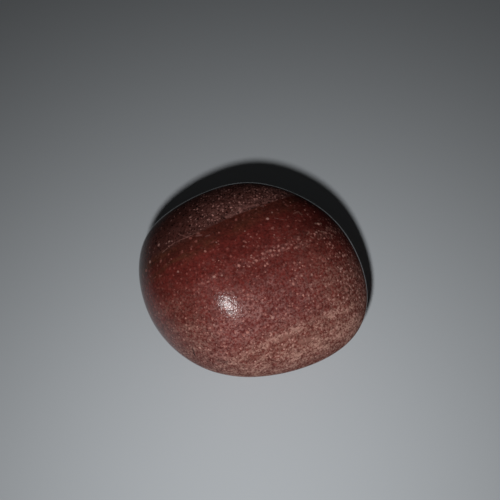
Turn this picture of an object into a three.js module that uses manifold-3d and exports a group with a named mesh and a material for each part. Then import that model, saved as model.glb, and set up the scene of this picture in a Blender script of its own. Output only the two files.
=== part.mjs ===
// A red jasper tumbled stone: one polished pebble, a little wider than deep and two thirds as high.
// Lengths are in millimetres and angles in degrees. +Z is up, +X runs along the longest side, and the
// origin is under the middle of the stone, in the flat spot that it rests on.
import * as THREE from "three";
import { mergeVertices } from "three/addons/utils/BufferGeometryUtils.js";
import Module from "manifold-3d";

// The rough pebble is an ellipsoid whose long axis is turned by a yaw about +Z.
const SEMI_AXES = new THREE.Vector3(13.2, 11.7, 9.6);
const SEMI_AXES_YAW = -24;

// Faces where the stone first broke. Tumbling has worn them to faint flats. Each has the bearing of its
// outward normal round +Z from +X, its rise above the horizon, and its distance from the stone's middle.
const WORN_FACES = {
  crown: { bearing: 0, rise: 84, distance: 7.8 },
  foot: { bearing: 0, rise: -90, distance: 8.8 },
  backLeftShoulder: { bearing: 120, rise: 30, distance: 11.4 },
  backRightShoulder: { bearing: 64, rise: 30, distance: 11.2 },
  rightShoulder: { bearing: 12, rise: 34, distance: 11.4 },
  frontLeftBrow: { bearing: 250, rise: 39, distance: 11.7 },
  frontRightBrow: { bearing: 307, rise: 50, distance: 8.7 },
  leftFlank: { bearing: 180, rise: -21, distance: 13.5 },
  frontFlank: { bearing: 286, rise: -28, distance: 12.0 },
};

// How crisply the faces meet: 2 would melt them into one egg, and 30 would leave sharp edges.
const EDGE_CRISPNESS = 8;

// The flat spot takes this much off the lowest point.
const FLAT_SPOT_TRIM = 0.14;

// Each side of the starting icosahedron is cut into this many parts and one more.
const SURFACE_DETAIL = 15;

const JASPER = { color: 0x8c4a44, roughness: 0.35, metalness: 0 };

function directionOf({ bearing, rise }) {
  const turn = THREE.MathUtils.degToRad(bearing);
  const climb = THREE.MathUtils.degToRad(rise);
  return new THREE.Vector3(
    Math.cos(turn) * Math.cos(climb),
    Math.sin(turn) * Math.cos(climb),
    Math.sin(climb),
  );
}

// Distance from the stone's middle to its surface along a unit direction. The ellipsoid and the faces
// are blended by a power mean, so that the nearest of them rules and every edge between them is round.
function surfaceDistance(direction, faces) {
  const yaw = THREE.MathUtils.degToRad(SEMI_AXES_YAW);
  const inPebble = direction
    .clone()
    .applyAxisAngle(new THREE.Vector3(0, 0, 1), -yaw)
    .divide(SEMI_AXES);
  let sum = inPebble.length() ** EDGE_CRISPNESS;
  for (const { normal, distance } of faces) {
    const nearness = Math.max(0, direction.dot(normal) / distance);
    sum += nearness ** EDGE_CRISPNESS;
  }
  return sum ** (-1 / EDGE_CRISPNESS);
}

function pebbleGeometry() {
  const faces = Object.values(WORN_FACES).map((face) => ({
    normal: directionOf(face),
    distance: face.distance,
  }));
  const geometry = new THREE.IcosahedronGeometry(1, SURFACE_DETAIL);
  const position = geometry.getAttribute("position");
  const point = new THREE.Vector3();
  for (let i = 0; i < position.count; i++) {
    point.fromBufferAttribute(position, i).normalize();
    point.multiplyScalar(surfaceDistance(point, faces));
    position.setXYZ(i, point.x, point.y, point.z);
  }
  return geometry;
}

function toSolid(wasm, geometry) {
  const bare = geometry.clone();
  bare.deleteAttribute("normal");
  bare.deleteAttribute("uv");
  const merged = mergeVertices(bare);
  return new wasm.Manifold(
    new wasm.Mesh({
      numProp: 3,
      vertProperties: merged.getAttribute("position").array,
      triVerts: new Uint32Array(merged.index.array),
    }),
  );
}

function toGeometry(solid) {
  const { vertProperties, triVerts } = solid.getMesh();
  const geometry = new THREE.BufferGeometry();
  geometry.setAttribute("position", new THREE.BufferAttribute(vertProperties, 3));
  geometry.setIndex(new THREE.BufferAttribute(triVerts, 1));
  geometry.computeVertexNormals();
  return geometry;
}

// Cuts the flat spot: everything below the trim height goes.
function cutFlatSpot(wasm, geometry) {
  geometry.computeBoundingBox();
  const { min, max } = geometry.boundingBox;
  const blockSide = 2 * (max.x - min.x);
  const block = new THREE.BoxGeometry(blockSide, blockSide, blockSide);
  block.translate(0, 0, min.z + FLAT_SPOT_TRIM - blockSide / 2);
  return toGeometry(toSolid(wasm, geometry).subtract(toSolid(wasm, block)));
}

const wasm = await Module();
wasm.setup();

const stoneGeometry = cutFlatSpot(wasm, pebbleGeometry());
stoneGeometry.computeBoundingBox();
const { min, max } = stoneGeometry.boundingBox;

const stone = new THREE.Mesh(stoneGeometry, new THREE.MeshStandardMaterial(JASPER));
stone.name = "stone";
stone.position.set(-(min.x + max.x) / 2, -(min.y + max.y) / 2, -min.z);

const tumbledStone = new THREE.Group();
tumbledStone.add(stone);

export default tumbledStone;
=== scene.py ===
"""The looks of a red jasper tumbled stone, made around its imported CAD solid.

Lengths are in millimetres and angles in degrees, until an object is made, when they turn into metres
and radians. The frame is the part's own: +Z is up, and the origin is in the flat spot underneath.
"""

import math
from collections import namedtuple

import bmesh
import bpy
import numpy as np
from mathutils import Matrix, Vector, noise


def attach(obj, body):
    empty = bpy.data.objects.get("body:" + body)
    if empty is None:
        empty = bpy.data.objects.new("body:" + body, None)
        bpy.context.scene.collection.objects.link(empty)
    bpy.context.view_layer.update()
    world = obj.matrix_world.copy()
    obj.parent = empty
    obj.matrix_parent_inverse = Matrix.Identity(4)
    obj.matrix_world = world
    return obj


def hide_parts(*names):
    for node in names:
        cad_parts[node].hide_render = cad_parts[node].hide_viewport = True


MM = 0.001

# The pebble's form, with the same values as the CAD source: an ellipsoid turned about +Z, and worn
# faces, each with the bearing and rise of its outward normal and its distance from the middle.
SEMI_AXES = (13.2, 11.7, 9.6)
SEMI_AXES_YAW = -24
WORN_FACES = {
    "crown": (0, 84, 7.8),
    "foot": (0, -90, 8.8),
    "back_left_shoulder": (120, 30, 11.4),
    "back_right_shoulder": (64, 30, 11.2),
    "right_shoulder": (12, 34, 11.4),
    "front_left_brow": (250, 39, 11.7),
    "front_right_brow": (307, 50, 8.7),
    "left_flank": (180, -21, 13.5),
    "front_flank": (286, -28, 12.0),
}
EDGE_CRISPNESS = 8
FLAT_SPOT_TRIM = 0.14

# Each edge of the starting icosahedron is cut into this many parts. Corners that agree to this many
# digits are one.
MESH_PARTS = 90
WELD_DIGITS = 6

# Faint waves that the tumbling barrel left: (wavelength, height).
RELIEF_WAVES = ((3.1, 0.012), (0.9, 0.0035))

# The bedding: the normal of its planes, and the level direction that lies in them. The beds bow down
# to both sides of BOW_MIDDLE, and sway a little. The coordinates for thin layers are squeezed along
# the beds, so that the layers come out long.
BED_NORMAL_BEARING = 116
BED_NORMAL_RISE = 30
BED_LEVEL_BEARING = 26
BOW_MIDDLE = 1.0
BOW = 0.0075
SWAY_WAVELENGTH = 2.6
SWAY_HEIGHT = 0.35
LAYER_SQUEEZE = 0.28

# The camera, and the key light.
CAMERA_PLACE = (-0.39, -39.13, 73.45)
CAMERA_TILT = 33
CAMERA_LENS = 49.7
CAMERA_SENSOR = 36
CAMERA_NEAR = 1
CAMERA_FAR = 10000
KEY_PLACE = (-5.7, -49.3, 66.9)
KEY_AIM = (5.5, 0, 8)
KEY_DIAMETER = 4.0
KEY_WATTS = 0.022
KEY_SPREAD = 130
AMBIENT = 0.014
FLOOR_HALF_SIDE = 1500


def rgb(r, g, b):
    return (r, g, b, 1.0)


# The jasper is a red matrix with pale quartz grains in it.
RED_MATRIX = rgb(0.103, 0.0145, 0.0115)
DARK_MATRIX = rgb(0.060, 0.013, 0.009)
OLIVE_MATRIX = rgb(0.070, 0.022, 0.011)
CAP_MATRIX = rgb(0.049, 0.0145, 0.0115)
PINK_GRAIN = rgb(0.27, 0.085, 0.07)
GRAIN = rgb(0.43, 0.187, 0.153)
LOW_GRAIN = rgb(0.52, 0.27, 0.225)
CAP_GRAIN = rgb(0.45, 0.215, 0.185)
CAP_HAZE = rgb(0.40, 0.18, 0.155)
BEAD = rgb(0.43, 0.185, 0.155)
PALE_GRAIN = rgb(0.42, 0.215, 0.195)
TAN_GRAIN = rgb(0.43, 0.235, 0.185)
BRIGHT_GRAIN = rgb(0.53, 0.29, 0.245)

# The gloss is all in the clear coat.
BODY_ROUGHNESS = 0.36
BODY_IOR = 1.54
COAT_ROUGHNESS = 0.215
COAT_IOR = 1.7
BUMP_WAVELENGTH = 0.36
BUMP_DETAIL = 2.0
BUMP_NOISE_ROUGHNESS = 0.7
BUMP_HEIGHT = 0.036

PAPER = rgb(0.575, 0.61, 0.64)
PAPER_ROUGHNESS = 0.85
PAPER_SPECULAR = 0.2

# The beds differ in how much of the surface is pale: (height of the bed, share of pale). The cap lies
# above CAP_BASE. The edge between them sways less than the beds do.
CAP_BASE = 10.6
CAP_SWAY = 0.25
BEDS_TOP = 15.0
BEDS_FOOT = -7.0
PALE_SHARE = (
    (-6.6, 0.38),
    (-5.3, 0.46),
    (-4.6, 0.56),
    (-3.5, 0.32),
    (-2.9, 0.34),
    (-2.3, 0.44),
    (-1.6, 0.25),
    (0.0, 0.22),
    (1.5, 0.19),
    (2.5, 0.155),
    (3.5, 0.10),
    (4.6, 0.065),
    (5.4, 0.09),
    (5.8, 0.085),
    (6.5, 0.04),
    (7.5, 0.025),
    (9.0, 0.015),
    (10.4, 0.01),
)
CAP_PALE_SHARE = ((10.4, 0.12), (11.1, 0.14), (12.0, 0.13), (12.8, 0.08), (14.0, 0.04))

# Fades are what Graph.step takes after its value: a mask goes from 0 to 1, or from the third number to
# the fourth, as the value goes from the first number to the second. A zone has one fade along the
# beds, from the left end (about -12) to the right end (about 12), and any number across them.
Zone = namedtuple("Zone", "along across", defaults=((),))

# The cap's edge is sharp, but blurred at its left end, where the cap is less pale too.
CAP_EDGE_BLUR = (-3.0, -7.0, 0.06, 0.5)
CAP_PALE_ALONG = (-7.0, -2.0, 0.25, 1.0)
CAP_GRAINS_ALONG = (-7.0, -2.5, 0.3, 1.0)

# Zones that have more or less pale than their beds have elsewhere, each with the change in share.
LEFT_BELLY = Zone((-5.0, -9.0), ((6.0, 4.0), (-1.5, 0.5)))
LEFT_BELLY_CHANGE = 0.2
RIGHT_BELLY = Zone((4.0, 9.0), ((1.5, 3.5),))
RIGHT_BELLY_CHANGE = -0.52
RIGHT_TIP = Zone((6.0, 9.0))
RIGHT_TIP_CHANGE = -0.1

# Across the beds: how far the streaks swing the share, and the chance of a pink grain.
STREAK_SWING = (2.0, -2.0, 0.35, 0.4)
PINK_CHANCE = (5.5, 9.0, 0.75, 0.45)

# There are more pink grains on the left, and more pale grains and pits far on the right. Pale grains
# are fainter at the left end, and most of all in the high beds there.
PINK_LEFT = Zone((-2.0, -5.0), ((9.5, 7.5), (-1.0, 2.0)))
PINK_LEFT_CHANCE = 0.8
FAR_RIGHT = Zone((5.0, 8.0), ((8.5, 6.0),))
LEFT_FAINT_ALONG = (-8.5, -3.0)
LEFT_FAINT_ACROSS = (5.0, 8.0, 1.0, 0.4)

# The belt of beads: its lower edge, its upper edge, and where it begins on the left.
BELT_FOOT = (5.0, 5.4)
BELT_TOP = (6.3, 5.9)
BELT_ALONG = (-5.0, 1.0)

# Where the matrix turns dark below the cap, and where it has an olive tinge.
DARK_ACROSS = (8.2, 10.2)
OLIVE_ACROSS = (8.0, 9.5)
OLIVE_ALONG = (-4.0, 2.0, 0.65, 0.3)

# Where the pale is tan: on the right, at the left end and low down. Low grains there are paler.
TAN_RIGHT = (1.0, 6.0)
TAN_LEFT = (-6.0, -10.0)
TAN_LOW = (0.0, -3.0)
LOW_GRAINS = (4.5, 1.5)

# Darker zones, each with the change in how light the matrix is. The first one is painted shade on the
# upper right, where the surface turns away from the key light, and it dims the grains too, by
# GRAINS_DIM_TOO of what it takes from the matrix. The last one is painted shade at the top of the cap,
# towards the back rim, and dims all but the lone grains.
RIGHT_TOP = Zone((1.5, 8.0), ((3.0, 7.5),))
RIGHT_TOP_SHADE = -0.35
GRAINS_DIM_TOO = 0.6
FAR_RIGHT_CHANGE = -0.2
LEFT_TIP = Zone((-6.0, -8.5))
LEFT_TIP_CHANGE = -0.1
# Painted shade at the top of the cap, towards the back rim, where the surface turns away from the key
# light.
CAP_TOP_SHADE = (11.8, 13.4, 1.0, 0.75)

# The coat's weight is POLISH, more at the left end and less on the right. It is weaker where the
# surface turns away from the view, but rises at a grazing view, which gives a thin line along the
# outline. EVEN_FACING leaves the facing, 0 from the front and 1 at the outline, as it is.
POLISH = 0.19
LEFT_POLISH_ALONG = (-11.5, -8.0)
LEFT_POLISH_ACROSS = (-1.0, 4.0, 0.4, 0.9)
RIGHT_POLISH_ALONG = (1.0, 7.0, 1.0, 0.6)
SIDE_VIEW = (0.5, 0.7)
SIDE_POLISH_ALONG = (-9.0, -5.0, 0.9, 0.2)
GRAZING_VIEW = (0.84, 0.91)
GRAZING_POLISH_ALONG = (-2.0, 6.0, 2.5, 7.5)
EVEN_FACING = 0.5

# Mottles: a noise, and the fade that turns it into a factor.
Mottle = namedtuple("Mottle", "wavelength detail roughness fade")
NOISE_MIDDLE = 0.5
STREAKS = Mottle(0.55, 3.0, 0.65, (0.36, 0.64, -1.0, 1.0))
WIDE_MOTTLE = Mottle(1.3, 2.0, 0.5, (0.35, 0.65, 0.85, 1.15))
FINE_MOTTLE = Mottle(0.25, 2.0, 0.8, (0.36, 0.66, 0.2, 1.85))
OLIVE_PATCHES = Mottle(1.1, 2.0, 0.5, (0.48, 0.62))
MATRIX_TONE = Mottle(0.7, 3.0, 0.7, (0.3, 0.7, 0.75, 1.25))
SPECKLE = Mottle(0.22, 1.0, 0.5, (0.3, 0.7, 0.8, 1.25))

# Layers of fine grains: the size of the cells that hold one each, how far the pattern is shifted, the
# largest radius as a share of the cell, the strength, and the chance of a grain. The chance adds up
# from the share of pale, the zone that the layer belongs to, the far right, and a chance anywhere.
Grains = namedtuple(
    "Grains",
    "size shift radius strength per_share in_zone far_right anywhere",
    defaults=(0.0, 0.0, 0.0, 0.0),
)
PINK = Grains(0.44, (1.1, 7.3, 2.9), 0.5, 0.9)
MORE_PINK = Grains(0.31, (5.2, 2.8, 8.1), 0.55, 0.7)
SMALL = Grains(0.27, (0, 0, 0), 0.62, 1.35, per_share=1.5, in_zone=0.45, far_right=0.4)
LARGE = Grains(0.38, (3.7, 1.9, 5.3), 0.55, 1.0, per_share=0.6, far_right=0.25, anywhere=0.03)
BEADS = Grains(0.42, (8.2, 0.6, 2.4), 0.6, 1.25, in_zone=0.8)
MORE_BEADS = Grains(0.36, (2.6, 9.2, 4.4), 0.58, 1.1, in_zone=0.5)
PITS = Grains(0.27, (6.1, 4.4, 0.7), 0.75, 1.3, in_zone=0.7, far_right=0.25, anywhere=0.08)

# The smallest grain's radius and the faintest grain's strength, as shares of the layer's. A grain
# whose random number is within CHANCE_EDGE of the chance is partly there.
SMALLEST_GRAIN = 0.5
FAINTEST_GRAIN = 0.2
CHANCE_EDGE = 0.03

# How much a pit darkens: anywhere, how much more in the cap, and at most.
PIT_DARK = 0.35
PIT_DARK_IN_CAP = 0.5
PIT_DARK_MOST = 0.85

# Each kind of mark is full within this share of its radius or half width, and fades out from there.
GRAIN_CORE = 0.35
STROKE_CORE = 0.3
CLOUD_CORE = 0.1

# Jitter makes the edges of grains and marks ragged: its wavelength, and how far it moves each kind.
JITTER_WAVELENGTH = 0.25
GRAIN_JITTER = 0.30
MARK_JITTER = 0.14

# Marks are placed by direction from the stone's middle, on a sphere that reaches down to the floor.
STONE_MIDDLE = (0, 0, 8.2)
MARK_SPHERE = STONE_MIDDLE[2]

# Single grains that stand out: bearing and rise from the middle, and radius. A larger one is paler.
LONE_GRAIN_STRENGTH = 3.6
LONE_GRAINS = (
    (57.5, 70.6, 0.21),
    (135, 59.8, 0.13),
    (125.5, 63.4, 0.13),
    (111, 52.6, 0.14),
    (158.5, 57, 0.13),
    (160, 47, 0.12),
    (181.5, 39, 0.12),
    (181, 32.5, 0.14),
    (188, 25.3, 0.15),
    (151.5, 82.5, 0.12),
    (205, 87.5, 0.12),
    (7, 74.3, 0.13),
    (80.5, 53.3, 0.12),
    (58.7, 63.7, 0.12),
    (11, 44.2, 0.14),
    (194, 63.8, 0.10),
    (230, 50.4, 0.16),
    (235, 53.3, 0.13),
    (263.5, 73, 0.13),
    (20, 40.7, 0.16),
    (329.7, 40, 0.15),
    (322.3, 44.5, 0.14),
    (347, 26.3, 0.15),
    (283, 31, 0.19),
    (245.5, 26.6, 0.13),
    (245.6, 21.5, 0.13),
    (206, 38.8, 0.12),
    (292.7, 9.7, 0.14),
)

# Pale strokes, such as the thin vein along the cap's edge: both ends' bearing and rise, half the
# width, and the share of pale in them.
STROKES = (
    ((183.6, 43), (181, 49), 0.06, 0.3),
    ((177.6, 44), (181, 49), 0.06, 0.3),
    ((181, 49), (176.5, 54), 0.06, 0.3),
    ((187.6, 34.6), (183.8, 42), 0.07, 0.3),
    ((181, 53.5), (180.3, 56), 0.12, 0.25),
    ((182.5, 58.5), (181.3, 60.4), 0.12, 0.2),
    ((142, 65.5), (113, 66.5), 0.30, 0.34),
    ((106, 65), (84, 61), 0.24, 0.32),
    ((77, 59), (67, 54), 0.13, 0.35),
    ((74, 58.5), (64, 52), 0.06, 0.3),
    ((86.5, 53), (85.5, 56), 0.07, 0.25),
    ((85.5, 56), (82, 57), 0.07, 0.25),
    ((82, 57), (77.5, 55.3), 0.07, 0.25),
    ((77.5, 55.3), (70, 52.3), 0.07, 0.2),
    ((79, 62), (75.5, 61.5), 0.1, 0.3),
    ((20.5, 42.8), (20.5, 38.6), 0.13, 0.4),
    ((12, 40.8), (12, 37.6), 0.13, 0.42),
    ((16.5, 34.7), (14.5, 30), 0.38, 0.15),
    ((19.5, 23), (16.8, 23.6), 0.08, 0.4),
    ((11, 33.8), (7.6, 34), 0.11, 0.3),
    ((7.7, 50.7), (11.5, 49), 0.1, 0.3),
    ((5.7, 48.2), (4.5, 47), 0.12, 0.42),
    ((38, 52.8), (38, 49), 0.11, 0.22),
    ((38, 49), (33, 48.5), 0.11, 0.22),
    ((48, 66.7), (34, 60.6), 0.06, 0.3),
    ((285, 53.7), (289, 51.3), 0.07, 0.45),
    ((289, 51.3), (292.7, 53.5), 0.07, 0.45),
    ((251.5, 8.8), (258.5, 10.3), 0.17, 0.4),
    ((258, 13.4), (259.4, 14.5), 0.13, 0.45),
    ((263.2, 13.2), (264.8, 13.6), 0.15, 0.5),
    ((267.3, 15.6), (269.2, 15.2), 0.12, 0.5),
    ((259.7, 19.4), (261.5, 20.4), 0.09, 0.35),
    ((261.5, 20.4), (263.6, 19.4), 0.09, 0.35),
    ((267.3, 7), (269.6, 7.2), 0.13, 0.45),
    ((282.2, 17.8), (283.4, 17.8), 0.2, 0.5),
    ((286, 18), (292, 19), 0.28, 0.4),
    ((296.5, 12.8), (307.5, 10.2), 0.3, 0.45),
    ((307, 19.2), (311.6, 19.1), 0.15, 0.4),
)

# Dark strokes, with how much they darken last: a small crack near the foot, and a smear beside it.
DARK_STROKES = (
    ((237.2, 7.2), (238.5, 3.3), 0.14, 0.55),
    ((252, 6.3), (255.7, 6.5), 0.3, 0.3),
)

# Soft clouds with more or less pale in them: bearing and rise, radius, and the change in share. The
# first three, pale ones round the key light's highlight, are partly paler stone and partly painted
# sheen, the haze of that highlight.
CLOUDS_AND_SHEEN = (
    (243, 44, 1.9, 0.45),
    (264, 42, 2.3, 0.6),
    (272, 37, 1.9, 0.4),
    (306, 34, 2.3, -0.22),
    (301, 23, 1.9, -0.18),
    (311, 46, 1.3, -0.25),
    (340, 17, 2.0, -0.3),
    (285, 13, 1.5, -0.15),
    (268, 12, 1.8, -0.15),
    (235, 10, 1.9, -0.1),
    (205, 38, 2.2, -0.3),
)


def direction(bearing, rise):
    turn, climb = math.radians(bearing), math.radians(rise)
    return Vector(
        (
            math.cos(turn) * math.cos(climb),
            math.sin(turn) * math.cos(climb),
            math.sin(climb),
        )
    )


def geodesic_sphere(parts):
    """Unit directions and triangles of an icosahedron with each edge cut into that many parts."""
    ball = bmesh.new()
    bmesh.ops.create_icosphere(ball, subdivisions=1, radius=1)
    corners = [[np.array(v.co) for v in face.verts] for face in ball.faces]
    ball.free()

    def row_start(row):
        return row * (parts + 1) - row * (row - 1) // 2

    points, triangles = [], []
    for a, b, c in corners:
        base = len(points)
        for i in range(parts + 1):
            for j in range(parts + 1 - i):
                points.append(a * (parts - i - j) + b * i + c * j)
        for i in range(parts):
            for j in range(parts - i):
                here, beyond = base + row_start(i) + j, base + row_start(i + 1) + j
                triangles.append((here, beyond, here + 1))
                if j < parts - i - 1:
                    triangles.append((beyond, beyond + 1, here + 1))
    points = np.array(points)
    points /= np.linalg.norm(points, axis=1)[:, None]
    _, first, inverse = np.unique(
        points.round(WELD_DIGITS), axis=0, return_index=True, return_inverse=True
    )
    return points[first], inverse.reshape(-1)[np.array(triangles)]


def surface_distance(directions):
    """How far the surface is from the pebble's middle along each unit direction."""
    turn = math.radians(SEMI_AXES_YAW)
    x, y, z = directions.T
    in_pebble = np.stack(
        (
            (x * math.cos(turn) + y * math.sin(turn)) / SEMI_AXES[0],
            (y * math.cos(turn) - x * math.sin(turn)) / SEMI_AXES[1],
            z / SEMI_AXES[2],
        ),
        axis=1,
    )
    total = np.linalg.norm(in_pebble, axis=1) ** EDGE_CRISPNESS
    for bearing, rise, distance in WORN_FACES.values():
        nearness = directions @ np.array(direction(bearing, rise)) / distance
        total += np.maximum(0, nearness) ** EDGE_CRISPNESS
    return total ** (-1 / EDGE_CRISPNESS)


def stone_mesh():
    directions, triangles = geodesic_sphere(MESH_PARTS)
    distance = surface_distance(directions)
    smooth = directions * distance[:, None]
    for wavelength, height in RELIEF_WAVES:
        wave = [noise.noise(Vector(p) / wavelength) for p in smooth]
        distance = distance + height * np.array(wave)
    points = directions * distance[:, None]
    foot = smooth[:, 2].min() + FLAT_SPOT_TRIM
    points[:, 2] = np.maximum(points[:, 2], foot)
    middle = (smooth.min(axis=0) + smooth.max(axis=0)) / 2
    points -= (middle[0], middle[1], foot)
    mesh = bpy.data.meshes.new("jasper_stone")
    mesh.from_pydata((points * MM).tolist(), [], triangles.tolist())
    mesh.polygons.foreach_set("use_smooth", [True] * len(mesh.polygons))
    mesh.update()
    return mesh


class Graph:
    """Short names for the shader nodes that the materials use."""

    # A colour ramp's new stop has to start somewhere. A mix node has an A, a B and a result for each
    # kind of data, and these are the places of the ones for colours.
    NEW_STOP = 0.5
    MIX_A, MIX_B, MIX_RESULT = 6, 7, 2

    def __init__(self, material):
        material.use_nodes = True
        self.tree = material.node_tree
        self.tree.nodes.clear()

    def put(self, socket, value):
        if isinstance(value, bpy.types.NodeSocket):
            self.tree.links.new(value, socket)
        else:
            socket.default_value = value

    def node(self, kind, **settings):
        made = self.tree.nodes.new(kind)
        for name, value in settings.items():
            setattr(made, name, value)
        return made

    def math(self, operation, *values, clamp=False):
        made = self.node("ShaderNodeMath", operation=operation, use_clamp=clamp)
        for socket, value in zip(made.inputs, values):
            self.put(socket, value)
        return made.outputs[0]

    def add(self, *values):
        total = values[0]
        for value in values[1:]:
            total = self.math("ADD", total, value)
        return total

    def times(self, *values):
        total = values[0]
        for value in values[1:]:
            total = self.math("MULTIPLY", total, value)
        return total

    def vector(self, operation, *values, output=0):
        made = self.node("ShaderNodeVectorMath", operation=operation)
        for socket, value in zip(made.inputs, values):
            self.put(socket, value)
        return made.outputs[output]

    def scaled(self, vector, factor):
        made = self.node("ShaderNodeVectorMath", operation="SCALE")
        self.put(made.inputs[0], vector)
        self.put(made.inputs["Scale"], factor)
        return made.outputs[0]

    def dot(self, a, b):
        return self.vector("DOT_PRODUCT", a, b, output="Value")

    def gap(self, a, b):
        return self.vector("DISTANCE", a, b, output="Value")

    def combine(self, x, y, z):
        made = self.node("ShaderNodeCombineXYZ")
        for socket, value in zip(made.inputs, (x, y, z)):
            self.put(socket, value)
        return made.outputs[0]

    def step(self, value, low, high, out_low=0.0, out_high=1.0):
        """Goes smoothly from out_low to out_high as the value goes from low to high."""
        # A smooth step stays between its ends without a clamp, and with a clamp in each of the
        # hundreds of steps the shader would be too big for Cycles, which then draws it black.
        made = self.node("ShaderNodeMapRange", interpolation_type="SMOOTHSTEP", clamp=False)
        for socket, number in zip(made.inputs, (value, low, high, out_low, out_high)):
            self.put(socket, number)
        return made.outputs[0]

    def ramp_place(self, value, low, high):
        """Goes straight from 0 to 1 as the value goes from low to high."""
        made = self.node("ShaderNodeMapRange")
        for socket, number in zip(made.inputs, (value, low, high)):
            self.put(socket, number)
        return made.outputs[0]

    def noise(self, vector, wavelength, detail=2.0, roughness=0.5):
        """A smooth random number about NOISE_MIDDLE. Blender versions name its socket differently."""
        made = self.node("ShaderNodeTexNoise")
        self.put(made.inputs["Vector"], vector)
        self.put(made.inputs["Scale"], 1 / wavelength)
        self.put(made.inputs["Detail"], detail)
        self.put(made.inputs["Roughness"], roughness)
        return made.outputs["Factor" if "Factor" in made.outputs else "Fac"]

    def mottle(self, vector, kind):
        return self.step(
            self.noise(vector, kind.wavelength, kind.detail, kind.roughness), *kind.fade
        )

    def jitter(self, vector, wavelength):
        """A random vector whose three parts each swing about 0."""
        made = self.node("ShaderNodeTexNoise")
        self.put(made.inputs["Vector"], vector)
        self.put(made.inputs["Scale"], 1 / wavelength)
        return self.vector("SUBTRACT", made.outputs["Color"], (NOISE_MIDDLE,) * 3)

    def cells(self, vector, size):
        """Distance to the nearest cell's middle, in cell sizes, and that cell's random colour."""
        made = self.node("ShaderNodeTexVoronoi")
        self.put(made.inputs["Vector"], vector)
        self.put(made.inputs["Scale"], 1 / size)
        return made.outputs["Distance"], made.outputs["Color"]

    def mix(self, factor, a, b):
        made = self.node("ShaderNodeMix", data_type="RGBA")
        self.put(made.inputs[0], factor)
        self.put(made.inputs[self.MIX_A], a)
        self.put(made.inputs[self.MIX_B], b)
        return made.outputs[self.MIX_RESULT]

    def profile(self, value, stops):
        """The stops' second number, as the value passes their first."""
        made = self.node("ShaderNodeValToRGB")
        self.put(made.inputs[0], self.ramp_place(value, BEDS_FOOT, BEDS_TOP))
        ramp = made.color_ramp.elements
        while len(ramp) < len(stops):
            ramp.new(self.NEW_STOP)
        for element, (height, share) in zip(ramp, stops):
            element.position = (height - BEDS_FOOT) / (BEDS_TOP - BEDS_FOOT)
            element.color = rgb(share, share, share)
        return made.outputs[0]

    def channels(self, color):
        made = self.node("ShaderNodeSeparateColor")
        self.put(made.inputs[0], color)
        return made.outputs[0], made.outputs[1], made.outputs[2]

    def principled(self, **values):
        """The material's surface. A value's name is its socket's, with _ for each space."""
        shader = self.node("ShaderNodeBsdfPrincipled")
        for name, value in values.items():
            self.put(shader.inputs[name.replace("_", " ")], value)
        output = self.node("ShaderNodeOutputMaterial")
        self.put(output.inputs["Surface"], shader.outputs[0])


# Where a point is in the beds: its place along them, its height across them with and without the sway,
# its coordinates for thin layers, and how far it is in the cap and out of it.
Beds = namedtuple("Beds", "along flat height layered cap not_cap")


def find_beds(g, place):
    normal = direction(BED_NORMAL_BEARING, BED_NORMAL_RISE)
    level = direction(BED_LEVEL_BEARING, 0)
    along = g.dot(place, level)
    down = g.dot(place, normal.cross(level))
    bow = g.times(g.math("POWER", g.math("SUBTRACT", along, BOW_MIDDLE), 2.0), BOW)
    sway = g.math("SUBTRACT", g.noise(place, SWAY_WAVELENGTH), NOISE_MIDDLE)
    sway = g.times(sway, SWAY_HEIGHT)
    flat = g.add(g.dot(place, normal), bow)
    height = g.add(flat, sway)
    layered = g.combine(g.times(along, LAYER_SQUEEZE), g.times(down, LAYER_SQUEEZE), height)
    blur = g.step(along, *CAP_EDGE_BLUR)
    over = g.math("SUBTRACT", g.add(flat, g.times(sway, CAP_SWAY)), CAP_BASE)
    cap = g.step(g.math("DIVIDE", over, blur), -1.0, 1.0)
    return Beds(along, flat, height, layered, cap, g.math("SUBTRACT", 1.0, cap))


def zone_mask(g, beds, zone):
    mask = g.step(beds.along, *zone.along)
    for fade in zone.across:
        mask = g.times(mask, g.step(beds.height, *fade))
    return mask


def grains(g, place, layer, chance):
    """A mask of round grains, one at most in each cell, that differ in size and strength."""
    gap, random = g.cells(g.vector("ADD", place, layer.shift), layer.size)
    pick, dim, girth = g.channels(random)
    smallest, faintest = layer.radius * SMALLEST_GRAIN, layer.strength * FAINTEST_GRAIN
    edge = g.add(g.times(girth, layer.radius - smallest), smallest)
    inside = g.step(g.math("DIVIDE", gap, edge), 1.0, GRAIN_CORE)
    present = g.step(g.math("SUBTRACT", chance, pick), -CHANCE_EDGE, CHANCE_EDGE)
    strength = g.add(g.times(dim, dim, layer.strength - faintest), faintest)
    return g.times(inside, present, strength)


def on_sphere(bearing, rise):
    return direction(bearing, rise) * MARK_SPHERE


def one_stroke(g, around, start, end, half_width, strength):
    """A mask along the line between two directions from the middle."""
    a, b = on_sphere(*start), on_sphere(*end)
    from_a = g.vector("SUBTRACT", around, a)
    part = g.math("MAXIMUM", g.dot(from_a, (b - a) / (b - a).length_squared), 0.0)
    part = g.math("MINIMUM", part, 1.0)
    gap = g.gap(from_a, g.scaled(tuple(b - a), part))
    return g.step(gap, half_width, half_width * STROKE_CORE, 0.0, strength)


def pale_marks(g, around):
    """Masks of the lone grains and of the pale strokes."""
    lone, strokes = 0.0, 0.0
    for bearing, rise, radius in LONE_GRAINS:
        gap = g.gap(around, on_sphere(bearing, rise))
        spot = g.step(gap, radius, radius * GRAIN_CORE, 0.0, radius * LONE_GRAIN_STRENGTH)
        lone = g.math("MAXIMUM", lone, spot)
    for stroke in STROKES:
        strokes = g.math("MAXIMUM", strokes, one_stroke(g, around, *stroke))
    return lone, strokes


def stroke_light(g, around):
    """How much light the dark strokes leave."""
    light = 1.0
    for stroke in DARK_STROKES:
        light = g.math("SUBTRACT", light, one_stroke(g, around, *stroke))
    return light


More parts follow.
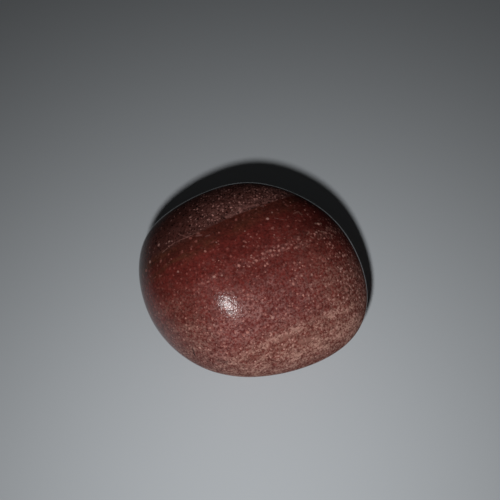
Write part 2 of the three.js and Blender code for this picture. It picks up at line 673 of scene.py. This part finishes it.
def cloud_and_sheen_factor(g, around):
    """What the clouds multiply the share of pale by, with painted sheen in the pale ones round the
    highlight.
    """
    factor = 1.0
    for bearing, rise, radius, change in CLOUDS_AND_SHEEN:
        gap = g.gap(around, on_sphere(bearing, rise))
        factor = g.add(factor, g.step(gap, radius, radius * CLOUD_CORE, 0.0, change))
    return factor


def pale_share(g, beds, place, around):
    """How much of the surface is pale, before the grains break it up."""
    body = g.profile(beds.height, PALE_SHARE)
    cap = g.profile(beds.height, CAP_PALE_SHARE)
    cap = g.times(cap, g.step(beds.along, *CAP_PALE_ALONG))
    tilt = g.add(
        g.times(zone_mask(g, beds, LEFT_BELLY), LEFT_BELLY_CHANGE),
        g.times(zone_mask(g, beds, RIGHT_BELLY), RIGHT_BELLY_CHANGE),
        g.times(zone_mask(g, beds, RIGHT_TIP), RIGHT_TIP_CHANGE),
        1.0,
    )
    body = g.times(body, tilt)
    share = g.add(g.times(body, beds.not_cap), g.times(cap, beds.cap))
    streaks = g.times(g.mottle(beds.layered, STREAKS), g.step(beds.height, *STREAK_SWING))
    wide = g.mottle(place, WIDE_MOTTLE)
    # The clouds bring in painted sheen round the highlight as well as paler stone.
    return g.times(share, wide, cloud_and_sheen_factor(g, around), g.add(streaks, 1.0))


def pink_grains(g, beds, ragged):
    """Pink grains all over, and more of them on the left."""
    chance = g.times(beds.not_cap, g.step(beds.height, *PINK_CHANCE))
    pink = grains(g, ragged, PINK, chance)
    chance = g.times(zone_mask(g, beds, PINK_LEFT), PINK_LEFT_CHANCE)
    return g.math("MAXIMUM", pink, grains(g, ragged, MORE_PINK, chance))


def pale_grains(g, beds, ragged, share, far_right):
    """Pale grains where there is much pale, and more in the cap and far on the right."""
    faint = g.step(beds.height, *LEFT_FAINT_ACROSS)
    faint = g.step(beds.along, *LEFT_FAINT_ALONG, faint, 1.0)
    in_cap = g.times(beds.cap, g.step(beds.along, *CAP_GRAINS_ALONG))
    chance = g.add(
        g.times(share, SMALL.per_share),
        g.times(in_cap, SMALL.in_zone),
        g.times(far_right, SMALL.far_right),
    )
    small = g.times(grains(g, ragged, SMALL, chance), faint)
    chance = g.add(
        g.times(share, LARGE.per_share), g.times(far_right, LARGE.far_right), LARGE.anywhere
    )
    large = g.times(grains(g, ragged, LARGE, chance), faint)
    return g.math("MAXIMUM", small, large, clamp=True)


def bead_grains(g, beds, ragged):
    """The dense grains of the belt."""
    belt = g.times(
        g.step(beds.flat, *BELT_FOOT),
        g.step(beds.flat, *BELT_TOP),
        g.step(beds.along, *BELT_ALONG),
    )
    beads = grains(g, ragged, BEADS, g.times(belt, BEADS.in_zone))
    more = grains(g, ragged, MORE_BEADS, g.times(belt, MORE_BEADS.in_zone))
    return g.math("MAXIMUM", beads, more, clamp=True)


def pit_darkness(g, beds, ragged, far_right):
    """How much the dark pits take away. They are densest in the cap."""
    chance = g.add(
        g.times(beds.cap, PITS.in_zone), PITS.anywhere, g.times(far_right, PITS.far_right)
    )
    pits = grains(g, ragged, PITS, chance)
    pits = g.times(pits, g.add(g.times(beds.cap, PIT_DARK_IN_CAP), PIT_DARK))
    return g.math("MINIMUM", pits, PIT_DARK_MOST)


def matrix_color(g, beds, place, ragged, right_top_shade, far_right):
    matrix = g.mix(g.step(beds.height, *DARK_ACROSS), RED_MATRIX, DARK_MATRIX)
    olive = g.times(
        g.mottle(beds.layered, OLIVE_PATCHES),
        g.step(beds.height, *OLIVE_ACROSS),
        g.step(beds.along, *OLIVE_ALONG),
    )
    matrix = g.mix(olive, matrix, OLIVE_MATRIX)
    matrix = g.mix(beds.cap, matrix, CAP_MATRIX)
    left_tip = g.times(zone_mask(g, beds, LEFT_TIP), LEFT_TIP_CHANGE)
    # Besides the darker far right and left tip, this factor holds painted shade on the upper right.
    sides = g.add(right_top_shade, g.times(far_right, FAR_RIGHT_CHANGE), left_tip, 1.0)
    tone = g.mottle(place, MATRIX_TONE)
    return g.scaled(matrix, g.times(tone, g.mottle(ragged, SPECKLE), sides))


def stone_color(g, beds, place):
    jitter = g.jitter(place, JITTER_WAVELENGTH)
    ragged = g.vector("ADD", place, g.scaled(jitter, GRAIN_JITTER))
    around = g.vector("NORMALIZE", g.vector("SUBTRACT", place, STONE_MIDDLE))
    around = g.scaled(around, MARK_SPHERE)
    around = g.vector("ADD", around, g.scaled(jitter, MARK_JITTER))

    share = pale_share(g, beds, place, around)
    far_right = zone_mask(g, beds, FAR_RIGHT)
    # Painted shade on the upper right, where the surface turns away from the key light.
    right_top_shade = g.times(zone_mask(g, beds, RIGHT_TOP), RIGHT_TOP_SHADE)
    lone, strokes = pale_marks(g, around)

    # From the matrix up: pink grains, the fine mottle with the strokes, pale grains and beads.
    color = matrix_color(g, beds, place, ragged, right_top_shade, far_right)
    color = g.mix(pink_grains(g, beds, ragged), color, PINK_GRAIN)
    tan = g.math("MAXIMUM", g.step(beds.along, *TAN_RIGHT), g.step(beds.along, *TAN_LEFT))
    tan = g.math("MAXIMUM", tan, g.step(beds.height, *TAN_LOW))
    pale_color = g.mix(beds.cap, g.mix(tan, PALE_GRAIN, TAN_GRAIN), CAP_HAZE)
    pale = g.times(share, g.mottle(place, FINE_MOTTLE))
    color = g.mix(g.math("MAXIMUM", pale, strokes), color, pale_color)
    low_grains = g.times(tan, g.step(beds.height, *LOW_GRAINS))
    grain_color = g.mix(beds.cap, g.mix(low_grains, GRAIN, LOW_GRAIN), CAP_GRAIN)
    color = g.mix(pale_grains(g, beds, ragged, share, far_right), color, grain_color)
    color = g.mix(bead_grains(g, beds, ragged), color, BEAD)

    # Then what darkens all of them: painted shade at the top of the cap and on the upper right, the
    # pits and the dark strokes; and the lone grains, which nothing darkens.
    light = g.times(
        g.step(beds.height, *CAP_TOP_SHADE),
        g.add(g.times(right_top_shade, GRAINS_DIM_TOO), 1.0),
        g.math("SUBTRACT", 1.0, pit_darkness(g, beds, ragged, far_right)),
        stroke_light(g, around),
    )
    return g.mix(lone, g.scaled(color, light), BRIGHT_GRAIN)


def polish_weight(g, beds):
    layer = g.node("ShaderNodeLayerWeight")
    g.put(layer.inputs["Blend"], EVEN_FACING)
    facing = layer.outputs["Facing"]
    at_left = g.step(beds.height, *LEFT_POLISH_ACROSS)
    from_side = g.step(beds.along, *SIDE_POLISH_ALONG)
    grazing = g.step(beds.along, *GRAZING_POLISH_ALONG)
    polish = g.times(
        g.step(beds.along, *LEFT_POLISH_ALONG, at_left, POLISH),
        g.step(beds.along, *RIGHT_POLISH_ALONG),
        g.add(
            g.step(facing, *SIDE_VIEW, 1.0, from_side),
            g.step(facing, *GRAZING_VIEW, 0.0, grazing),
        ),
    )
    return g.math("MINIMUM", polish, 1.0)


def jasper():
    material = bpy.data.materials.new("banded_jasper")
    g = Graph(material)
    place = g.scaled(g.node("ShaderNodeTexCoord").outputs["Object"], 1 / MM)
    beds = find_beds(g, place)
    bump = g.node("ShaderNodeBump")
    height = g.noise(place, BUMP_WAVELENGTH, BUMP_DETAIL, BUMP_NOISE_ROUGHNESS)
    g.put(bump.inputs["Height"], height)
    g.put(bump.inputs["Distance"], BUMP_HEIGHT * MM)
    g.put(bump.inputs["Strength"], 1.0)
    g.principled(
        Base_Color=stone_color(g, beds, place),
        Roughness=BODY_ROUGHNESS,
        IOR=BODY_IOR,
        Specular_IOR_Level=0.0,
        Coat_Weight=polish_weight(g, beds),
        Coat_Roughness=COAT_ROUGHNESS,
        Coat_IOR=COAT_IOR,
        Normal=bump.outputs[0],
        Coat_Normal=bump.outputs[0],
    )
    return material


def paper():
    material = bpy.data.materials.new("pale_paper")
    Graph(material).principled(
        Base_Color=PAPER, Roughness=PAPER_ROUGHNESS, Specular_IOR_Level=PAPER_SPECULAR
    )
    return material


def link(name, data, place=(0, 0, 0)):
    made = bpy.data.objects.new(name, data)
    made.location = Vector(place) * MM
    bpy.context.scene.collection.objects.link(made)
    return made


def add_floor():
    side = FLOOR_HALF_SIDE * MM
    mesh = bpy.data.meshes.new("floor")
    corners = [(-side, -side, 0), (side, -side, 0), (side, side, 0), (-side, side, 0)]
    mesh.from_pydata(corners, [], [(0, 1, 2, 3)])
    floor = link("floor", mesh)
    floor.data.materials.append(paper())


def add_camera():
    data = bpy.data.cameras.new("camera")
    data.lens = CAMERA_LENS
    data.sensor_width = CAMERA_SENSOR
    data.clip_start = CAMERA_NEAR * MM
    data.clip_end = CAMERA_FAR * MM
    camera = link("camera", data, CAMERA_PLACE)
    camera.rotation_euler = (math.radians(CAMERA_TILT), 0, 0)
    bpy.context.scene.camera = camera


def add_lights():
    data = bpy.data.lights.new("key", "AREA")
    data.shape = "DISK"
    data.size = KEY_DIAMETER * MM
    data.energy = KEY_WATTS
    data.spread = math.radians(KEY_SPREAD)
    key = link("key", data, KEY_PLACE)
    aim = Vector(KEY_AIM) - Vector(KEY_PLACE)
    key.rotation_euler = aim.to_track_quat("-Z", "Y").to_euler()
    world = bpy.data.worlds.new("studio")
    world.use_nodes = True
    background = world.node_tree.nodes["Background"]
    background.inputs["Color"].default_value = rgb(1, 1, 1)
    background.inputs["Strength"].default_value = AMBIENT
    bpy.context.scene.world = world


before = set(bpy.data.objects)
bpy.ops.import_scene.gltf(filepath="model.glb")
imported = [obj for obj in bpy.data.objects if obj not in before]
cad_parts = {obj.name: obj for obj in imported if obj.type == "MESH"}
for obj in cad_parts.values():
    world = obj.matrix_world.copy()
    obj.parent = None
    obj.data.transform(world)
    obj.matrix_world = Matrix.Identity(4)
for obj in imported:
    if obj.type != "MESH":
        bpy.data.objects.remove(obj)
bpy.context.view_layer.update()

stone = link("jasper_stone", stone_mesh())
stone.data.materials.append(jasper())
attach(stone, "root")
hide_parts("stone")

add_floor()
add_camera()
add_lights()
bpy.context.scene.view_settings.view_transform = "Standard"
